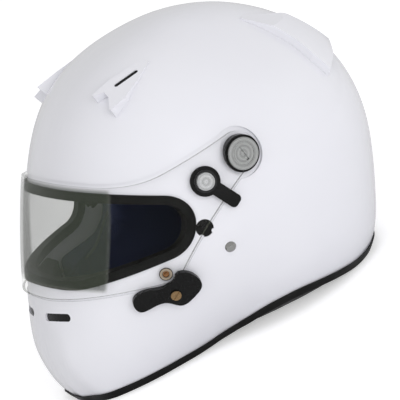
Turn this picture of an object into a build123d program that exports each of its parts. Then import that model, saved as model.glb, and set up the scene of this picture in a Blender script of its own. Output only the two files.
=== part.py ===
from build123d import *
import os
from math import acos, atan2, cos, degrees, hypot, radians, sin, sqrt, tan
import numpy as np

# Auto racing helmet, millimetres and degrees. It is drawn in a level frame: origin in the middle of the
# head form, +X to the wearer's left, -Y to the face, +Z up. At the end it is tipped back onto its rim,
# which then lies on Z = 0 with the origin under the middle of the bounding box.

# Head form: distances from the middle of the head, and shares of them every 30 degrees from the crown
CROWN_HEIGHT = 141.0
FRONT_REACH = 138.3
REAR_REACH = 128.7
HALF_WIDTH = 126.4
BASE_DEPTH = 140.0
FRONT_SHARES = (0.999, 1.006, 1.0, 1.180, 1.409)
REAR_SHARES = (1.117, 1.053, 1.0, 1.042, 0.867)
SIDE_SHARES = (1.029, 1.023, 1.0, 0.994, 1.029)
STATION_STEP = 30
FRONT_FULLNESS = 0.4
REAR_FULLNESS = 0.3
FULLNESS_ANGLE = 70

# How the form's surface is sampled
GRID = 25
MAP_SHARE = 0.8
POLAR_LIMIT = 163
CUT_REACH = 260.0

# Rim: the table line runs under chin and nape, tipped by REST_TILT in the level frame
REST_TILT = 27.0
CHIN_LOW_Y = -107.7
CHIN_LOW_Z = -165.0
TRIM_HEIGHT = 6.5
RIM_ARCH = 9.5
ARCH_START = 88.0
ARCH_FRONT = 143.0
ARCH_REAR = 168.0
ARCH_END = 225.0
ARCH_RADIUS = 120.0
TRIM_WEB = 2.0
TRIM_LIP = 1.3

# Shell and visor layers, as distances outside (+) or inside (-) the head form
SHELL_FRONT_WALL = 4.0
SHELL_SIDE_WALL = 5.0
RECESS_DEPTH = 0.8
RECESS_LIP = 2.5
VISOR_WALL = 2.4
VISOR_FRONT_LIFT = 1.6
VISOR_SIDE_LIFT = 0.5
SIDE_START = 25
SIDE_SPAN = 50

# Visor pivot, side view
PIVOT_Y = -27.5
PIVOT_Z = 33.0
PIVOT_END_RADIUS = 16.0
SEAT_RADIUS = 19.5
SEAT_DROP = 2.5
SEAT_LEAN = 12.6
PIVOT_BORE_RADIUS = 5.0
RUNNING_GAP = 0.05
BASE_RADIUS = 14.2
BASE_LIFT = 7.8
BASE_GAP = 1.65
SCREW_HEAD_RADIUS = 12.4
SCREW_HEAD_HEIGHT = 2.4
SCREW_RING_RADIUS = 7.6
SCREW_RING_WIDTH = 1.0
SCREW_RING_DEPTH = 0.5
SCREW_SLOT_WIDTH = 2.0
SCREW_SLOT_LENGTH = 12.0
SCREW_SLOT_DEPTH = 1.2
SCREW_SLOT_ANGLE = -50
NUT_RADIUS = 8.0
NUT_HEIGHT = 3.0

# Eye port, side view
PORT_TOP = 2.0
PORT_BOTTOM = -73.5
PORT_REAR = -59.5
PORT_CORNER_Z = -39.0
PORT_CHIN_Y = -132.0
PORT_TOP_RADIUS = 22.0
PORT_REAR_RADIUS = 26.0
PORT_CHIN_RADIUS = 30.0
GASKET_BAND = 7.0
GASKET_GAP = 0.4
GASKET_DEPTH = 9.0

# Visor, side view
VISOR_TOP = 6.3
VISOR_BROW_RISE = 31
VISOR_BROW_RADIUS = 80.0
VISOR_HEEL_Y = -69.0
VISOR_HEEL_Z = -62.5
VISOR_HEEL_RADIUS = 6.0
VISOR_REAR_BOW = 7.0
VISOR_CHIN_Y = -145.0
VISOR_CHIN_Z = -82.5
VISOR_CHIN_RADIUS = 60.0
VISOR_OPENING = 50

# Padding
LINER_GAP = 0.4
EPS_DEPTH = 34.0
COMFORT_THICKNESS = 8.0
COMFORT_BORDER = 12.0
CHIN_EPS_DEPTH = 24.0
PAD_DEPTH = 42.0
PAD_GAP = 0.5
PAD_RADIUS = 9.0
PAD_CLEARANCE = 0.7
PAD_LIFT = 1.0
PAD_BORDER_DEPTH = 34.0
PAD_STEP = 9.0
CHANNEL_X = 34.0
CHANNEL_WIDTH = 4.0
CHANNEL_DEPTH = 4.0
ROLL_DEPTH = 28.0
ROLL_HEIGHT = 18.0
ROLL_START = 128.0
ROLL_SINK = 1.6
ROLL_GAP = 0.5
ROLL_LIFT = 0.4
NECK_ALONG = 136.0
NECK_HALF_WIDTH = 66.0
NECK_HALF_LENGTH = 91.0
NECK_DEPTH = 60.0
PAD_FRONT_Y = -102.0
PAD_FRONT_LOW_Y = -66.0
PAD_FRONT_LOW_Z = -165.0
PAD_REAR_Y = 24.0
PAD_TOP_Z = -3.0
PAD_TOP_FRONT_Y = -48.0
PORT_BORDER = 4.0

# Chin strap and its rings, hung in the neck opening; heights are over the table
STRAP_ALONG = 125.0
STRAP_WIDTH = 20.0
STRAP_THICKNESS = 1.4
STRAP_GAP = 0.3
STRAP_X = 58.5
STRAP_TOP = 89.0
STRAP_TURN = 48.0
STRAP_BEND = 4.0
STRAP_FOLD_LOW = 5.0
STRAP_FOLD_GAP = 0.4
STRAP_FOLD_TOP = 38.0
SLOT_ROOM = 1.0
RING_HEIGHT = 16.6
RING_RADIUS = 12.5
RING_WIRE = 1.3
RING_SPACING = 3.2
RING_PLAY = 0.1

# Side fittings, placed by their side-view positions
POST_Y = -54.0
POST_Z = 12.5
POST_RADIUS = 6.6
POST_HEIGHT = 2.6
POST_COLLAR_RADIUS = 8.6
POST_COLLAR_HEIGHT = 1.2
POST_STEM_RADIUS = 2.5
PLATE_HEAD_RADIUS = 11.5
PLATE_TAIL_Y = -33.0
PLATE_TAIL_Z = -1.5
PLATE_TAIL_WIDTH = 10.5
PLATE_THICKNESS = 1.8
PLUG_Y = -53.0
PLUG_Z = -23.0
PLUG_RADIUS = 6.8
PLUG_NOTCH = 1.6
PLUG_SINK = 0.2
RIVET_Y = -32.0
RIVET_Z = -38.0
RIVET_RADIUS = 4.4
RIVET_DOME = 2.6
RIVET_SHANK_RADIUS = 2.4
BUSH_Y = -78.0
BUSH_Z = -56.5
BUSH_RADIUS = 5.2
BUSH_BARREL_RADIUS = 4.0
BUSH_BORE_RADIUS = 2.7
BUSH_PROUD = 0.7

# Latch lever, its outline in shares of the reach from the screw to the finger tip (rearward, up)
LEVER_Y = -70.0
LEVER_Z = -70.5
LEVER_REACH = 28.0
LEVER_GAP = 1.3
LEVER_SWING_GAP = 0.25
LEVER_THICKNESS = 4.0
LEVER_BORE_RADIUS = 2.5
LEVER_SCREW_RADIUS = 4.0
LEVER_SCREW_HEIGHT = 1.0
LEVER_SLOT_WIDTH = 1.1
LEVER_SLOT_DEPTH = 0.6
LEVER_SLOT_ANGLE = 70
SPACER_RADIUS = 6.0
LEVER_SHARES = (
    (0.02, 0.62), (0.36, 0.57), (0.66, 0.24), (0.52, -0.07), (0.22, -0.31), (-0.16, -0.23),
    (-0.55, -0.36), (-0.86, -0.47), (-1.04, -0.22), (-0.80, 0.10), (-0.40, 0.19), (-0.16, 0.36),
)

# Chin vents
CHIN_VENT_X = 28.5
CHIN_VENT_Z = -96.0
CHIN_VENT_LENGTH = 33.0
CHIN_VENT_HEIGHT = 6.0
CHIN_VENT_SINK = 2.0
CHIN_VENT_SLOPE = -5

# Forehead ducts: outline in shares of the length, in plan view (left, rearward) from the duct's middle
DUCT_X = 64.0
DUCT_Y = -96.0
DUCT_LENGTH = 40.0
DUCT_HEIGHT = 6.5
DUCT_TAIL_HEIGHT = 1.0
DUCT_RADIUS = 1.2
DUCT_SHARES = (
    (-0.27, -0.46), (-0.10, -0.27), (0.06, -0.24), (0.30, -0.26), (0.33, -0.03), (0.20, 0.27),
    (0.03, 0.54), (-0.09, 0.50), (-0.17, 0.22), (-0.24, -0.12),
)
SLOT_FRONT_SHARES = (-0.02, -0.09)
SLOT_REAR_SHARES = (0.03, 0.26)
SLOT_WIDTH = 3.6
SLOT_DEPTH = 2.0
INSERT_SINK = 0.6

# Rear diffusers, in the same way
DIFFUSER_X = 62.0
DIFFUSER_Y = 48.0
DIFFUSER_LENGTH = 74.0
DIFFUSER_HEIGHT = 6.5
DIFFUSER_RAMP_HEIGHT = 12.0
DIFFUSER_TAIL_HEIGHT = 1.0
DIFFUSER_SHARES = (
    (-0.27, -0.50), (-0.12, -0.31), (0.06, -0.08), (0.22, 0.08), (0.31, 0.23), (0.06, 0.38),
    (-0.22, 0.46), (-0.34, 0.03), (-0.33, -0.44),
)
EXHAUST_WIDTH = 22.0
EXHAUST_HEIGHT = 4.0
EXHAUST_DEPTH = 14.0
EXHAUST_SINK = 3.0
EXHAUST_FLOOR = 1.6

# One overrun for every cutting tool
OVERRUN = 12.0


def profile(reach, shares):
    """Even cubic spline through the radii of one profile, as a function of the polar angle."""
    radii = [CROWN_HEIGHT] + [reach * share for share in shares] + [BASE_DEPTH]
    values = np.array(radii[:0:-1] + radii + radii[-2:0:-1])
    count, first = len(values), -(len(radii) - 1) * STATION_STEP
    matrix = np.zeros((count, count))
    for row in range(count):
        matrix[row, (row - 1) % count] = matrix[row, (row + 1) % count] = 1
        matrix[row, row] = 4
    bends = 6 * (np.roll(values, -1) - 2 * values + np.roll(values, 1))
    curve = np.linalg.solve(matrix, bends)

    def radius_at(angle):
        place = (angle - first) / STATION_STEP
        left = int(place // 1)
        t = place - left
        low, high = left % count, (left + 1) % count
        return float(
            values[low] * (1 - t) + values[high] * t
            + ((1 - t) ** 3 - (1 - t)) * curve[low] / 6
            + (t ** 3 - t) * curve[high] / 6
        )

    return radius_at


front_radius = profile(FRONT_REACH, FRONT_SHARES)
rear_radius = profile(REAR_REACH, REAR_SHARES)
side_radius = profile(HALF_WIDTH, SIDE_SHARES)


def ease(share):
    share = min(max(share, 0), 1)
    return share * share * (3 - 2 * share)


def form_radius(polar, azimuth):
    """Radius of the head form; polar from the crown, azimuth from the face towards the left ear."""
    along, across = cos(radians(azimuth)), abs(sin(radians(azimuth)))
    reach, fullness = (front_radius, FRONT_FULLNESS) if along > 0 else (rear_radius, REAR_FULLNESS)
    power = 2 + fullness * ease(polar / FULLNESS_ANGLE)
    return (
        (across / side_radius(polar)) ** power + (abs(along) / reach(polar)) ** power
    ) ** (-1 / power)


def polar_point(polar, azimuth, radius):
    ring = radius * sin(radians(polar))
    return Vector(ring * sin(radians(azimuth)), -ring * cos(radians(azimuth)), radius * cos(radians(polar)))


def layer_point(polar, azimuth, front, side):
    """Point of a layer that goes from one distance at the face to another at the sides and back."""
    share = ease((abs(azimuth) - SIDE_START) / SIDE_SPAN)
    return polar_point(polar, azimuth, form_radius(polar, azimuth) + front + (side - front) * share)


def layer_face(layer):
    """One patch without a pole: a square grid mapped onto a disc of polar angles."""
    rows = []
    for i in range(GRID):
        row = []
        for j in range(GRID):
            across, along = 2 * i / (GRID - 1) - 1, 2 * j / (GRID - 1) - 1
            x = across * sqrt(1 - MAP_SHARE * along * along / 2)
            y = along * sqrt(1 - MAP_SHARE * across * across / 2)
            polar = POLAR_LIMIT * hypot(x, y) / sqrt(2 - MAP_SHARE)
            azimuth = degrees(atan2(x, y)) if hypot(x, y) > 0 else 0
            row.append(layer_point(polar, azimuth, *layer))
        rows.append(row)
    return Face.make_surface_from_array_of_points(rows, tol=0.02, min_deg=3, max_deg=3)


def skin(outer, inner):
    """Closed solid between two layers, open at the bottom edge of the form."""
    outside, inside = layer_face(outer), layer_face(inner)
    faces = [outside, inside]
    for edge in outside.edges():
        mate = min(inside.edges(), key=lambda other: (other.center() - edge.center()).length)
        faces.append(Face.make_surface_from_curves(edge, mate))
    return Solid(Shell(faces))


def surface_x(y, z):
    """Half width of the form at a side-view place."""
    low, high = 0.0, 2 * HALF_WIDTH
    for _ in range(40):
        middle = (low + high) / 2
        length = sqrt(middle ** 2 + y ** 2 + z ** 2)
        inside = length < form_radius(degrees(acos(z / length)), degrees(atan2(middle, -y)))
        low, high = (middle, high) if inside else (low, middle)
    return low


def surface_z(x, y):
    """Height of the form at a plan-view place."""
    low, high = 0.0, 2 * CROWN_HEIGHT
    for _ in range(40):
        middle = (low + high) / 2
        length = sqrt(x ** 2 + y ** 2 + middle ** 2)
        inside = length < form_radius(degrees(acos(middle / length)), degrees(atan2(x, -y)))
        low, high = (middle, high) if inside else (low, middle)
    return low


def form_normal(point):
    """Outward normal of the form near a point, from small steps along two tangents."""
    polar = degrees(acos(point.Z / point.length))
    azimuth = degrees(atan2(point.X, -point.Y))
    ends = [
        polar_point(polar + a, azimuth + b, form_radius(polar + a, azimuth + b))
        for a, b in ((-1, 0), (1, 0), (0, -1), (0, 1))
    ]
    normal = (ends[1] - ends[0]).cross(ends[3] - ends[2]).normalized()
    return normal if normal.dot(point) > 0 else -normal


def fitting_plane(y, z):
    """Plane on the left side, touching the form at a side-view place, its X axis rearward."""
    point = Vector(surface_x(y, z), y, z)
    return Plane(origin=point, x_dir=(0, 1, 0), z_dir=form_normal(point))


def cross_face(face, both=True):
    """A side-view face extruded across the helmet, or towards the left only."""
    return extrude(Plane.YZ * face, CUT_REACH, both=both)


def side_prism(outline):
    return cross_face(make_face(outline))


def closed(points, radii):
    return FilletPolyline(*points, radius=radii, close=True)


def rim_place(along, height):
    """Side-view place from its distance along the table line and its height above the table."""
    tilt = radians(REST_TILT)
    return (
        CHIN_LOW_Y + along * cos(tilt) - height * sin(tilt),
        CHIN_LOW_Z + along * sin(tilt) + height * cos(tilt),
    )


def above_rim(shift):
    """Everything above the arched rim line, moved down by a shift."""
    low, high = TRIM_HEIGHT - shift, TRIM_HEIGHT + RIM_ARCH - shift
    places = [
        rim_place(-CUT_REACH, low), rim_place(ARCH_START, low), rim_place(ARCH_FRONT, high),
        rim_place(ARCH_REAR, high), rim_place(ARCH_END, low), rim_place(2 * CUT_REACH, low),
        rim_place(2 * CUT_REACH, 2 * CUT_REACH), rim_place(-CUT_REACH, 2 * CUT_REACH),
    ]
    radii = [0, ARCH_RADIUS, ARCH_RADIUS, ARCH_RADIUS, ARCH_RADIUS, 0, 0, 0]
    return side_prism(closed(places, radii))


def above_table(height):
    """Everything above a level plane at a height over the table."""
    places = [
        rim_place(-CUT_REACH, height), rim_place(2 * CUT_REACH, height),
        rim_place(2 * CUT_REACH, 2 * CUT_REACH), rim_place(-CUT_REACH, 2 * CUT_REACH),
    ]
    return side_prism(closed(places, 0))


def behind(along):
    """Everything behind a place on the table line."""
    places = [
        rim_place(along, -CUT_REACH), rim_place(2 * CUT_REACH, -CUT_REACH),
        rim_place(2 * CUT_REACH, CUT_REACH), rim_place(along, CUT_REACH),
    ]
    return side_prism(closed(places, 0))


def port_outline():
    places = [
        (-CUT_REACH, PORT_TOP), (PORT_REAR, PORT_TOP), (PORT_REAR, PORT_CORNER_Z),
        (PORT_CHIN_Y, PORT_BOTTOM), (-CUT_REACH, PORT_BOTTOM),
    ]
    return closed(places, [0, PORT_TOP_RADIUS, PORT_REAR_RADIUS, PORT_CHIN_RADIUS, 0])


def visor_outline():
    """Side view: level top edge, a rising brow line, the round pivot end, the bowed rear edge and
    the chin edge."""
    rise = radians(VISOR_BROW_RISE)
    top = (PIVOT_Y - PIVOT_END_RADIUS * sin(rise), PIVOT_Z + PIVOT_END_RADIUS * cos(rise))
    brow = (top[0] - (top[1] - VISOR_TOP) / tan(rise), VISOR_TOP)
    end = (PIVOT_Y + PIVOT_END_RADIUS, PIVOT_Z)
    heel = (VISOR_HEEL_Y, VISOR_HEEL_Z)
    front_top, front_low = (-CUT_REACH, VISOR_TOP), (-CUT_REACH, VISOR_CHIN_Z)
    edges = [
        FilletPolyline(front_top, brow, top, radius=[VISOR_BROW_RADIUS]),
        CenterArc((PIVOT_Y, PIVOT_Z), PIVOT_END_RADIUS, 0, 90 + VISOR_BROW_RISE),
        SagittaArc(end, heel, -VISOR_REAR_BOW),
        FilletPolyline(heel, (VISOR_CHIN_Y, VISOR_CHIN_Z), front_low, radius=[VISOR_CHIN_RADIUS]),
        Line(front_low, front_top),
    ]
    face = make_face(Curve() + edges)
    corner = min(face.vertices(), key=lambda vertex: (vertex.center() - Vector(*heel)).length)
    return fillet(corner, VISOR_HEEL_RADIUS)


def mirrored(shape):
    return mirror(shape, about=Plane.YZ)


def pivot_cylinder(radius, start, end):
    """Cylinder on the left pivot's axis between two X places."""
    middle = Pos((start + end) / 2, PIVOT_Y, PIVOT_Z)
    return middle * Rot(Y=90) * Cylinder(radius, end - start)


def beyond_lean(place):
    """Everything outside the leaned plane that crosses the left pivot axis at an X place."""
    size = 2 * CUT_REACH
    lean = Pos(place, PIVOT_Y, PIVOT_Z) * Rot(Y=90 - SEAT_LEAN)
    return lean * Pos(0, 0, size / 2) * Box(size, size, size)


def local_places(plane, points):
    flat = [plane.to_local_coords(point) for point in points]
    return [(point.X, point.Y) for point in flat]


def plane_prism(plane, face, low, high):
    """A face drawn in a plane, extruded between two heights over it."""
    return extrude(plane * Pos(0, 0, low) * face, high - low, dir=plane.z_dir)


def pin(plane, radius, low, high):
    return plane_prism(plane, Circle(radius), low, high)


def neck_way():
    """Upright oval through the padding, which the head passes on its way in."""
    place = Pos(0, *rim_place(NECK_ALONG, 0)) * Rot(X=REST_TILT)
    return place * extrude(Ellipse(NECK_HALF_WIDTH, NECK_HALF_LENGTH), NECK_DEPTH, both=True)


def joined(*shapes):
    solids = [solid for shape in shapes for solid in shape.solids()]
    return solids[0].fuse(*solids[1:])


def largest(shape):
    return max(shape.solids(), key=lambda solid: solid.volume)


SHELL_OUTSIDE = (0, 0)
SHELL_INSIDE = (-SHELL_FRONT_WALL, -SHELL_SIDE_WALL)
VISOR_INSIDE = (VISOR_FRONT_LIFT, VISOR_SIDE_LIFT)
VISOR_OUTSIDE = (VISOR_FRONT_LIFT + VISOR_WALL, VISOR_SIDE_LIFT + VISOR_WALL)


def moved(layer, distance):
    return (layer[0] + distance, layer[1] + distance)


def level(distance):
    return (distance, distance)


pivot_x = surface_x(PIVOT_Y, PIVOT_Z)
seat_x = pivot_x - SEAT_DROP
pin_radius = PIVOT_BORE_RADIUS - RUNNING_GAP
base_top = pivot_x + BASE_LIFT
head_top = base_top + SCREW_HEAD_HEIGHT
nut_x = pivot_x - SHELL_SIDE_WALL - NUT_HEIGHT - OVERRUN
lever_low = VISOR_SIDE_LIFT + VISOR_WALL + LEVER_GAP
lever_high = lever_low + LEVER_THICKNESS
visor_top_side = VISOR_SIDE_LIFT + VISOR_WALL
plate_top = visor_top_side + PLATE_THICKNESS
parts = {}

post_plane = fitting_plane(POST_Y, POST_Z)
plug_plane = fitting_plane(PLUG_Y, PLUG_Z)
rivet_plane = fitting_plane(RIVET_Y, RIVET_Z)
bush_plane = fitting_plane(BUSH_Y, BUSH_Z)
lever_plane = fitting_plane(LEVER_Y, LEVER_Z)


def plug_face():
    """Round plug with two keying notches on its lower side."""
    places = ((-PLUG_NOTCH, -PLUG_RADIUS), (PLUG_RADIUS, -PLUG_NOTCH))
    return Circle(PLUG_RADIUS) - [Pos(*place) * Circle(PLUG_NOTCH) for place in places]


def plate_face():
    """Round head with a tail towards the rear."""
    tail = Vector(surface_x(PLATE_TAIL_Y, PLATE_TAIL_Z), PLATE_TAIL_Y, PLATE_TAIL_Z)
    end = local_places(post_plane, [tail])[0]
    length, angle = hypot(*end), degrees(atan2(end[1], end[0]))
    bar = RectangleRounded(length + PLATE_TAIL_WIDTH, PLATE_TAIL_WIDTH, PLATE_TAIL_WIDTH / 3)
    return Circle(PLATE_HEAD_RADIUS) + Rot(Z=angle) * Pos(length / 2, 0) * bar


def lever_face():
    """Palm-shaped plate with a finger arm towards the chin."""
    points = []
    for back, up in LEVER_SHARES:
        y, z = LEVER_Y + back * LEVER_REACH, LEVER_Z + up * LEVER_REACH
        points.append(Vector(surface_x(y, z), y, z))
    return make_face(Spline(*local_places(lever_plane, points), periodic=True))


def vent_face():
    slot = Rot(Z=-CHIN_VENT_SLOPE) * SlotOverall(CHIN_VENT_LENGTH, CHIN_VENT_HEIGHT)
    return extrude(Plane.XZ * Pos(CHIN_VENT_X, CHIN_VENT_Z) * slot, CUT_REACH)


def port_line(y):
    """Height of the port's sloping lower edge at a side-view place."""
    slope = (PORT_CORNER_Z - PORT_BOTTOM) / (PORT_REAR - PORT_CHIN_Y)
    return PORT_CORNER_Z + slope * (y - PORT_REAR)


def pad_face():
    """Side view of a cheek pad, following the port's edge at a border."""
    places = [
        (PAD_FRONT_Y, port_line(PAD_FRONT_Y) - PORT_BORDER),
        (PORT_REAR, port_line(PORT_REAR) - PORT_BORDER),
        (PORT_REAR + 2 * PORT_BORDER, PORT_CORNER_Z + 2 * PORT_BORDER),
        (PAD_TOP_FRONT_Y, PAD_TOP_Z), (PAD_REAR_Y, PAD_TOP_Z), (PAD_REAR_Y, PAD_FRONT_LOW_Z),
        (PAD_FRONT_LOW_Y, PAD_FRONT_LOW_Z),
    ]
    return make_face(closed(places, [PAD_RADIUS, PAD_RADIUS, 0, PAD_RADIUS, PAD_RADIUS, 0, 0]))


def liner_face():
    """Side view of the crown liner: above the port, behind the cheek pads."""
    brow = PORT_TOP + PORT_BORDER
    places = [
        (-CUT_REACH, brow), (PAD_TOP_FRONT_Y, brow), (PAD_TOP_FRONT_Y, -CUT_REACH),
        (CUT_REACH, -CUT_REACH), (CUT_REACH, CUT_REACH), (-CUT_REACH, CUT_REACH),
    ]
    return make_face(closed(places, 0)) - offset(pad_face(), PAD_GAP)


def chin_face():
    """Side view of the chin bar's liner: below the port, ahead of the cheek pads."""
    rear = PAD_FRONT_Y - PAD_GAP
    places = [
        (-CUT_REACH, PORT_BOTTOM - PORT_BORDER), (PORT_CHIN_Y, PORT_BOTTOM - PORT_BORDER),
        (rear, port_line(rear) - PORT_BORDER), (PAD_FRONT_LOW_Y - PAD_GAP, PAD_FRONT_LOW_Z),
        (-CUT_REACH, PAD_FRONT_LOW_Z),
    ]
    return make_face(closed(places, 0))


def outer_shell():
    shell = skin(SHELL_OUTSIDE, SHELL_INSIDE) & above_rim(TRIM_HEIGHT - TRIM_WEB)
    shell -= side_prism(port_outline())
    shell -= skin(level(OVERRUN), level(-RECESS_DEPTH)) & cross_face(offset(visor_outline(), RECESS_LIP))
    seat = pivot_cylinder(SEAT_RADIUS, seat_x - OVERRUN, head_top + OVERRUN) & beyond_lean(seat_x)
    holes = [
        seat, pivot_cylinder(pin_radius, nut_x, head_top + OVERRUN),
        plane_prism(plug_plane, plug_face(), -OVERRUN, OVERRUN),
        pin(rivet_plane, RIVET_SHANK_RADIUS, -OVERRUN, OVERRUN), vent_face(),
    ]
    for hole in holes:
        shell = shell - hole - mirrored(hole)
    return shell - pin(lever_plane, LEVER_BORE_RADIUS - RUNNING_GAP, -OVERRUN, OVERRUN)


def rim_trim(shell):
    band = skin(level(TRIM_LIP), moved(SHELL_INSIDE, -TRIM_LIP)) & above_rim(TRIM_HEIGHT)
    return band - above_rim(0) - shell


def eyeport_gasket():
    ring = cross_face(make_face(port_outline()) - offset(make_face(port_outline()), -GASKET_BAND))
    return skin(moved(VISOR_INSIDE, -GASKET_GAP), level(-GASKET_DEPTH)) & ring


def visor():
    lens = skin(VISOR_OUTSIDE, VISOR_INSIDE) & cross_face(visor_outline())
    bore = pivot_cylinder(PIVOT_BORE_RADIUS, nut_x, head_top + OVERRUN)
    stem = pin(post_plane, POST_STEM_RADIUS, -OVERRUN, OVERRUN)
    lens = lens - bore - mirrored(bore) - stem - mirrored(stem)
    return lens - pin(bush_plane, BUSH_BARREL_RADIUS, -OVERRUN, OVERRUN)


def neck_roll(pad_layer):
    """Low roll round the sides and nape that swells out under the rim's arch."""
    roll = skin(level(-ROLL_SINK), level(-ROLL_DEPTH)) & behind(ROLL_START)
    roll = roll - above_table(ROLL_HEIGHT) - neck_way()
    roll -= skin(level(OVERRUN), pad_layer) & above_rim(TRIM_HEIGHT + ROLL_GAP)
    return largest(roll & above_table(ROLL_LIFT))


def pivot_base():
    """Black spacer over the visor's end; its underside leans with the visor."""
    blank = pivot_cylinder(BASE_RADIUS, seat_x - OVERRUN, base_top)
    blank &= beyond_lean(pivot_x + BASE_GAP + VISOR_WALL)
    return blank - pivot_cylinder(pin_radius, nut_x, head_top)


def pivot_screw():
    """Turned head with a ring groove and a coin slot, on the pin that the visor turns on."""
    head = pivot_cylinder(SCREW_HEAD_RADIUS, base_top, head_top)
    head = chamfer(head.edges().sort_by(Axis.X)[-1], SCREW_RING_DEPTH)
    groove_radius = SCREW_RING_RADIUS + SCREW_RING_WIDTH
    ring = pivot_cylinder(groove_radius, head_top - SCREW_RING_DEPTH, head_top + OVERRUN)
    ring -= pivot_cylinder(SCREW_RING_RADIUS, nut_x, head_top + OVERRUN)
    slot = Pos(head_top, PIVOT_Y, PIVOT_Z) * Rot(X=SCREW_SLOT_ANGLE) * Box(
        2 * SCREW_SLOT_DEPTH, SCREW_SLOT_LENGTH, SCREW_SLOT_WIDTH
    )
    return head - ring - slot + pivot_cylinder(pin_radius, nut_x + OVERRUN, base_top)


def pivot_nut():
    ring = pivot_cylinder(NUT_RADIUS, nut_x, head_top) - pivot_cylinder(pin_radius, nut_x, head_top)
    return ring & skin(SHELL_INSIDE, moved(SHELL_INSIDE, -NUT_HEIGHT))


def fairing_places(centre, length, shares):
    """Plane touching the form at the middle, the outline points on the form and in that plane."""
    points = []
    for left, back in shares:
        x, y = centre[0] + left * length, centre[1] + back * length
        points.append(Vector(x, y, surface_z(x, y)))
    middle = Vector(centre[0], centre[1], surface_z(*centre))
    plane = Plane(origin=middle, x_dir=(1, 0, 0), z_dir=form_normal(middle))
    return plane, points, local_places(plane, points)


def roof_plane(plane, points, fore, aft, fore_height, aft_height):
    """Plane through two raised outline points, level across the fairing."""
    start = points[fore] + plane.z_dir * fore_height
    end = points[aft] + plane.z_dir * aft_height
    run = (end - start).normalized()
    side = plane.z_dir.cross(run)
    return Plane(origin=start, x_dir=run, z_dir=run.cross(side))


def above_roof(roof):
    size = 2 * CUT_REACH
    return roof * Pos(0, 0, size / 2) * Box(size, size, size)


def forehead_duct():
    centre = (DUCT_X, DUCT_Y)
    plane, points, flat = fairing_places(centre, DUCT_LENGTH, DUCT_SHARES)
    roof = roof_plane(plane, points, 2, 6, DUCT_HEIGHT, DUCT_TAIL_HEIGHT)
    outline = make_face(closed(flat, DUCT_RADIUS))
    wedge = plane_prism(plane, outline, -OVERRUN, OVERRUN) & skin(level(2 * OVERRUN), level(0))
    wedge -= above_roof(roof)
    ends = []
    for left, back in (SLOT_FRONT_SHARES, SLOT_REAR_SHARES):
        x, y = DUCT_X + left * DUCT_LENGTH, DUCT_Y + back * DUCT_LENGTH
        ends.append(Vector(x, y, surface_z(x, y)))
    front, rear = [Vector(*place) for place in local_places(roof, ends)]
    slot = SlotCenterToCenter((rear - front).length, SLOT_WIDTH)
    angle = degrees(atan2(rear.Y - front.Y, rear.X - front.X))
    middle = (front + rear) / 2
    slot = Pos(middle.X, middle.Y) * Rot(Z=angle) * slot
    pocket = plane_prism(roof, slot, -SLOT_DEPTH, OVERRUN)
    insert = plane_prism(roof, slot, -SLOT_DEPTH, -INSERT_SINK)
    shell_side = skin(level(2 * OVERRUN), level(0))
    return wedge - pocket, insert & shell_side


def rear_diffuser():
    centre = (DIFFUSER_X, DIFFUSER_Y)
    plane, points, flat = fairing_places(centre, DIFFUSER_LENGTH, DIFFUSER_SHARES)
    ramp = roof_plane(plane, points, 0, 2, DIFFUSER_TAIL_HEIGHT, DIFFUSER_RAMP_HEIGHT)
    outline = make_face(closed(flat, 0))
    wedge = plane_prism(plane, outline, -2 * OVERRUN, 2 * OVERRUN)
    wedge &= skin(level(DIFFUSER_HEIGHT), level(0))
    wedge -= above_roof(ramp)
    left, right = points[4], points[6]
    across = (right - left).normalized()
    tail = (left + right) / 2
    mouth = Plane(origin=tail, x_dir=across, z_dir=form_normal(tail))
    low = EXHAUST_FLOOR + EXHAUST_HEIGHT / 2
    pocket = mouth * Pos(0, 0, low) * Box(EXHAUST_WIDTH, 2 * EXHAUST_DEPTH, EXHAUST_HEIGHT)
    insert = mouth * Pos(0, 0, low) * Box(EXHAUST_WIDTH, 2 * (EXHAUST_DEPTH - EXHAUST_SINK), EXHAUST_HEIGHT)
    return wedge, pocket, insert


def tearoff_post():
    """Turned post through the visor, with a collar over its plate."""
    collar_top = plate_top + POST_COLLAR_HEIGHT
    collar = pin(post_plane, POST_COLLAR_RADIUS, -OVERRUN, collar_top)
    collar &= skin(level(2 * OVERRUN), moved(VISOR_OUTSIDE, PLATE_THICKNESS))
    stem = pin(post_plane, POST_STEM_RADIUS, -OVERRUN, plate_top) & skin(level(OVERRUN), VISOR_INSIDE)
    head = pin(post_plane, POST_RADIUS, collar_top - POST_COLLAR_HEIGHT / 2, collar_top + POST_HEIGHT)
    return joined(stem, collar, head)


def post_plate():
    plate = plane_prism(post_plane, plate_face(), -OVERRUN, OVERRUN)
    plate &= skin(moved(VISOR_OUTSIDE, PLATE_THICKNESS), VISOR_OUTSIDE)
    return plate - pin(post_plane, POST_STEM_RADIUS, -OVERRUN, OVERRUN)


def strap_rivet():
    ball = (RIVET_RADIUS ** 2 + RIVET_DOME ** 2) / (2 * RIVET_DOME)
    dome = Pos(0, 0, RIVET_DOME - ball) * Sphere(ball)
    dome &= Pos(0, 0, RIVET_DOME) * Box(3 * RIVET_RADIUS, 3 * RIVET_RADIUS, 2 * RIVET_DOME)
    return rivet_plane * dome + pin(rivet_plane, RIVET_SHANK_RADIUS, -SHELL_SIDE_WALL, 0)


def latch_bush():
    top = visor_top_side + BUSH_PROUD
    flange = pin(bush_plane, BUSH_RADIUS, -OVERRUN, top) & skin(level(OVERRUN), VISOR_OUTSIDE)
    barrel = pin(bush_plane, BUSH_BARREL_RADIUS, -OVERRUN, top) & skin(level(OVERRUN), VISOR_INSIDE)
    return joined(flange, barrel) - pin(bush_plane, BUSH_BORE_RADIUS, -OVERRUN, OVERRUN)


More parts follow.
